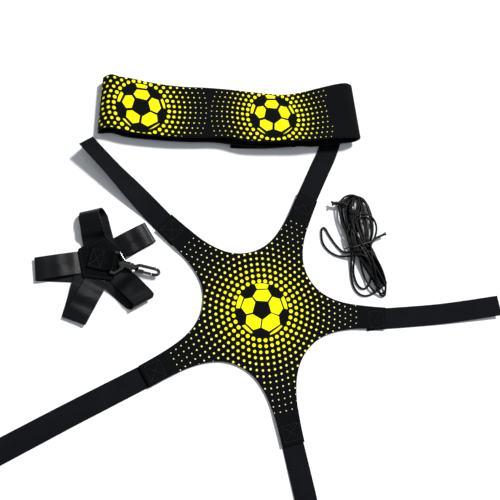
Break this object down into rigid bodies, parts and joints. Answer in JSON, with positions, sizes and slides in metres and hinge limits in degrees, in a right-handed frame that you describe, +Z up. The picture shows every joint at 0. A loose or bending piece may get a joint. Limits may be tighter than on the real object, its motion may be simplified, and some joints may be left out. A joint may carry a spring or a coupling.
{
  "type": "football kick trainer kit",
  "caption": "Five-arm neoprene ball harness with webbing straps, printed waist belt, looped connector with swivel snap hook, and a hank of elastic cord.",
  "frame": {"origin": "centre of the star-shaped harness panel, on the surface the kit lies on", "axes": "+Z up, +X to the right of the laid-out kit, +Y towards the waist belt"},
  "size_m": [0.5916, 0.602, 0.022],
  "materials": {
    "neoprene_print": "matt black neoprene with a yellow screen print",
    "belt_neoprene": "matt black neoprene with a yellow screen print",
    "strap_webbing": "brushed loop-pile webbing",
    "hook_tape": "moulded hook tape",
    "loop_tape": "brushed loop tape",
    "satin_webbing": "smooth satin-faced webbing",
    "patch_fabric": "coated cloth",
    "black_metal": "glossy black plated zinc",
    "spring_steel": "bright spring steel",
    "elastic_cord": "smooth elastic cord",
    "bead_plastic": "moulded gloss",
    "twist_tie": "plastic-coated wire"
  },
  "bodies": {
    "harness": {"harness_panel": "neoprene_print", "strap_1_sewn_end": "strap_webbing", "strap_2_sewn_end": "strap_webbing", "strap_3_sewn_end": "strap_webbing", "strap_4_sewn_end": "strap_webbing", "strap_5_sewn_end": "strap_webbing", "strap_2": "strap_webbing", "strap_2_hook_tape": "hook_tape"},
    "strap_1": {"strap_1": "strap_webbing", "strap_1_hook_tape": "hook_tape"},
    "strap_3": {"strap_3": "strap_webbing", "strap_3_hook_tape": "hook_tape"},
    "strap_4": {"strap_4": "strap_webbing", "strap_4_hook_tape": "hook_tape"},
    "strap_5": {"strap_5": "strap_webbing", "strap_5_hook_tape": "hook_tape"},
    "belt": {"belt_band": "belt_neoprene", "belt_hook_tape": "hook_tape", "belt_loop_tape": "loop_tape", "belt_anchor_loop": "satin_webbing"},
    "connector": {"connector_base_patch": "patch_fabric", "connector_top_patch": "patch_fabric", "connector_loop_1": "satin_webbing", "connector_loop_2": "satin_webbing", "connector_loop_3": "satin_webbing", "connector_loop_4": "satin_webbing", "connector_loop_5": "satin_webbing", "hook_holder_webbing": "satin_webbing"},
    "swivel": {"swivel_eye": "black_metal"},
    "hook": {"hook_body": "black_metal", "gate_pin": "spring_steel", "gate_spring": "spring_steel"},
    "gate": {"hook_gate": "black_metal"},
    "cord": {"elastic_cord_hank": "elastic_cord", "cord_bead": "bead_plastic", "twist_tie_top": "twist_tie", "twist_tie_waist": "twist_tie"}
  },
  "joints": [
    {"name": "strap_1_fold", "type": "hinge", "parent": "harness", "child": "strap_1", "pos_m": [-0.11874, 0.09993, 0.0014], "axis": [0.6947, 0.7193, 0], "range_deg": [0, 105]},
    {"name": "strap_3_fold", "type": "hinge", "parent": "harness", "child": "strap_3", "pos_m": [0.15508, -0.0049, 0.0014], "axis": [0.1253, -0.9921, 0], "range_deg": [0, 105]},
    {"name": "strap_4_fold", "type": "hinge", "parent": "harness", "child": "strap_4", "pos_m": [0.03492, -0.15122, 0.0014], "axis": [-0.974, -0.2267, 0], "range_deg": [0, 105]},
    {"name": "strap_5_fold", "type": "hinge", "parent": "harness", "child": "strap_5", "pos_m": [-0.13446, -0.07751, 0.0014], "axis": [-0.471, 0.8821, 0], "range_deg": [0, 105]},
    {"name": "belt_lift", "type": "slide", "parent": "harness", "child": "belt", "axis": [0, 0, 1], "range_m": [0, 0.1]},
    {"name": "connector_lift", "type": "slide", "parent": "harness", "child": "connector", "axis": [0, 0, 1], "range_m": [0, 0.1]},
    {"name": "cord_lift", "type": "slide", "parent": "harness", "child": "cord", "axis": [0, 0, 1], "range_m": [0, 0.1]},
    {"name": "swivel_tilt", "type": "hinge", "parent": "connector", "child": "swivel", "pos_m": [-0.16989, 0.04701, 0.0085], "axis": [-0.1994, -0.9799, 0], "range_deg": [0, 120]},
    {"name": "hook_swivel", "type": "hinge", "parent": "swivel", "child": "hook", "pos_m": [-0.16989, 0.04701, 0.0085], "axis": [0.9799, -0.1994, 0], "continuous": true},
    {"name": "gate_open", "type": "hinge", "parent": "hook", "child": "gate", "pos_m": [-0.14466, 0.03963, 0.00469], "axis": [-0.1727, -0.8486, 0.5], "range_deg": [0, 20], "stiffness_Nm_per_rad": 0.004, "springref_deg": -14.32}
  ]
}
